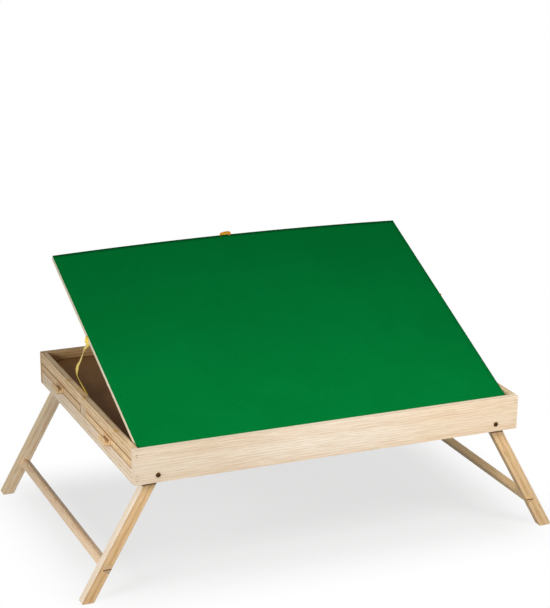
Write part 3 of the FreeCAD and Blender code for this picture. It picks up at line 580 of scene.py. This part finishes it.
# the curve from the board's edge down to the rail: back and up from the hinge axis, in millimetres
hang = [(281, 122), (281, 116), (281, 110), (282.5, 105), (287, 101), (294, 96.5), (303, 90), (310, 82),
        (316, 72), (328, 60), (343, 46), (354, 34), (356, 26), (350, 20), (336, 15), (316, 10), (298, 6),
        (284, 2)]
left_twists = [(0, 90), (0.01, 70), (0.05, 42), (0.07, 52), (0.105, 109), (0.46, 108), (0.56, 84), (0.6, 86),
               (0.68, 108), (1, 106)]
for end, side in (("left", -1), ("right", 1)):
    x = side * ribbon_x
    route = [(x, hinge_y + y / 1000, hinge_z + z / 1000) for y, z in hang]
    twists = [(share, -side * turn) for share, turn in left_twists]
    strip, length = ribbon_strip(f"{end}_limit_ribbon", route, Vector((-side, 0, 0)), twists, ribbon_width,
                                 golden_satin)
    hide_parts(f"{end}_ribbon")
    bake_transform(strip)


# Pull loop
# The same golden ribbon, folded into a loop and fixed under the middle of the board's back edge, to lift the
# board by. Its colours are painted deeper and more orange, as painted shade for the shadow it lies in.

loop_route = [on_board(x, u, w) for x, u, w in (
    (-0.0190, 0.523, 0.0022), (-0.0190, 0.536, 0.0022), (-0.0193, 0.5440, 0.0028),
    (-0.0190, 0.5453, 0.0046), (-0.0160, 0.5456, 0.0068), (-0.0085, 0.5457, 0.0079),
    (-0.0020, 0.5457, 0.0087), (0.0000, 0.5453, 0.0068), (0.0003, 0.5440, 0.0030),
    (0.0000, 0.536, 0.0022), (0.0000, 0.523, 0.0022))]
loop_twists = [(0, 90), (0.28, 85), (0.4, -12), (0.62, -12), (0.72, 85), (1, 90)]
# painted shade: the ribbon's colours, deeper and more orange, for the shadow the loop lies in
shaded_satin = satin_ribbon("shaded_satin", "#dc9318", "#a05c0e", "#f2c452")
loop, loop_length = ribbon_strip("back_pull_loop", loop_route, on_board(0, 0, 1) - on_board(0, 0, 0),
                                 loop_twists, ribbon_width, shaded_satin)
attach(loop, "board")
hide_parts("pull_loop")


# Studio
# A plain pale floor under soft light from both front corners and from a strip above, in a white surround,
# and the camera where the photograph was taken from.

def seen_directly(material):
    """1 for what the camera sees, also in a mirror or through glass, and 0 for light on the object."""
    rays = add(material, "LightPath").outputs
    mirrored = add(material, "Math", {"operation": "MAXIMUM"},
                   {0: rays["Is Glossy Ray"], 1: rays["Is Transmission Ray"]})
    return add(material, "Math", {"operation": "MAXIMUM"},
               {0: rays["Is Camera Ray"], 1: mirrored.outputs["Value"]}).outputs["Value"]


floor_mesh = bpy.data.meshes.new("studio_floor")
sweep = bmesh.new()
bmesh.ops.create_circle(sweep, cap_ends=True, segments=96, radius=30.0)
sweep.to_mesh(floor_mesh)
sweep.free()
floor = bpy.data.objects.new("studio_floor", floor_mesh)
bpy.context.scene.collection.objects.link(floor)
paper = new_finish("white_paper")
# the floor shows its shadows under the object, and turns to plain white beyond it
shadowed_half, fade = (0.36, 0.2, 0), 0.2
spot = add(paper, "TexCoord").outputs["Object"]
mirrored_half = add(paper, "VectorMath", {"operation": "ABSOLUTE"}, {0: spot}).outputs["Vector"]
beyond = add(paper, "VectorMath", {"operation": "SUBTRACT", 1: shadowed_half},
             {0: mirrored_half}).outputs["Vector"]
outside = add(paper, "VectorMath", {"operation": "MAXIMUM", 1: (0, 0, 0)}, {0: beyond}).outputs["Vector"]
away = add(paper, "VectorMath", {"operation": "LENGTH"}, {0: outside}).outputs["Value"]
surround = add(paper, "MapRange", {"interpolation_type": "SMOOTHSTEP", "From Min": 0.0, "From Max": fade},
               {"Value": away})
plain = add(paper, "BsdfDiffuse", {"Color": linear("#848484")})
lift = add(paper, "Emission", {"Color": linear("#ffffff"), "Strength": 0.685})
white = add(paper, "Emission", {"Color": linear("#ffffff"), "Strength": 1.0})
close = add(paper, "AddShader", {}, {0: plain.outputs["BSDF"], 1: lift.outputs["Emission"]})
shown = add(paper, "MixShader", {}, {0: surround.outputs["Result"], 1: close.outputs["Shader"],
                                     2: white.outputs["Emission"]})
chosen = add(paper, "MixShader", {}, {0: seen_directly(paper), 1: plain.outputs["BSDF"],
                                      2: shown.outputs["Shader"]})
add(paper, "OutputMaterial", {}, {"Surface": chosen.outputs["Shader"]})
floor.data.materials.append(paper)

air = bpy.data.worlds.new("studio_air")
bpy.context.scene.world = air
air.use_nodes = True
air.node_tree.nodes.clear()
around = add(air, "Background", {"Color": linear("#ffffff"), "Strength": 0.235})
backdrop = add(air, "Background", {"Color": linear("#ffffff"), "Strength": 1.0})
chosen = add(air, "MixShader", {}, {0: seen_directly(air), 1: around.outputs["Background"],
                                    2: backdrop.outputs["Background"]})
add(air, "OutputWorld", {}, {"Surface": chosen.outputs["Shader"]})

aim = Vector((0, 0, 0.28))
for name, place, watts, size in (("front_softbox", (0.95, -1.5, 0.75), 10.6, (0.6, 0.6)),
                                 ("top_strip", (0.05, -0.74, 0.85), 4.6, (1.1, 0.25)),
                                 ("left_softbox", (-1.4, -0.7, 0.62), 11.0, (0.5, 0.5))):
    lamp = bpy.data.lights.new(name, "AREA")
    lamp.shape = "RECTANGLE"
    lamp.size, lamp.size_y = size
    lamp.energy = watts
    holder = bpy.data.objects.new(name, lamp)
    bpy.context.scene.collection.objects.link(holder)
    holder.location = place
    holder.visible_camera = False
    holder.rotation_euler = (aim - Vector(place)).to_track_quat("-Z", "Y").to_euler()

eye = bpy.data.cameras.new("photo_camera")
eye.sensor_fit = "HORIZONTAL"
eye.sensor_width = 36.0
eye.lens = 120.66
eye.shift_x = 0.0688
eye.shift_y = 0.2566
eye.clip_end = 100
camera = bpy.data.objects.new("photo_camera", eye)
bpy.context.scene.collection.objects.link(camera)
viewpoint = (-1.3172, -3.0941, 1.4731)
azimuth, elevation, roll = math.radians(21.939), math.radians(21.719), math.radians(0.147)
ahead = Vector((math.sin(azimuth) * math.cos(elevation), math.cos(azimuth) * math.cos(elevation),
                -math.sin(elevation)))
right = Vector((math.cos(azimuth), -math.sin(azimuth), 0))
above = right.cross(ahead)
across = right * math.cos(roll) + above * math.sin(roll)
upward = above * math.cos(roll) - right * math.sin(roll)
axes = Matrix((across, upward, -ahead)).transposed().to_4x4()
camera.matrix_world = Matrix.Translation(viewpoint) @ axes
bpy.context.scene.camera = camera
bpy.context.scene.view_settings.view_transform = "Standard"
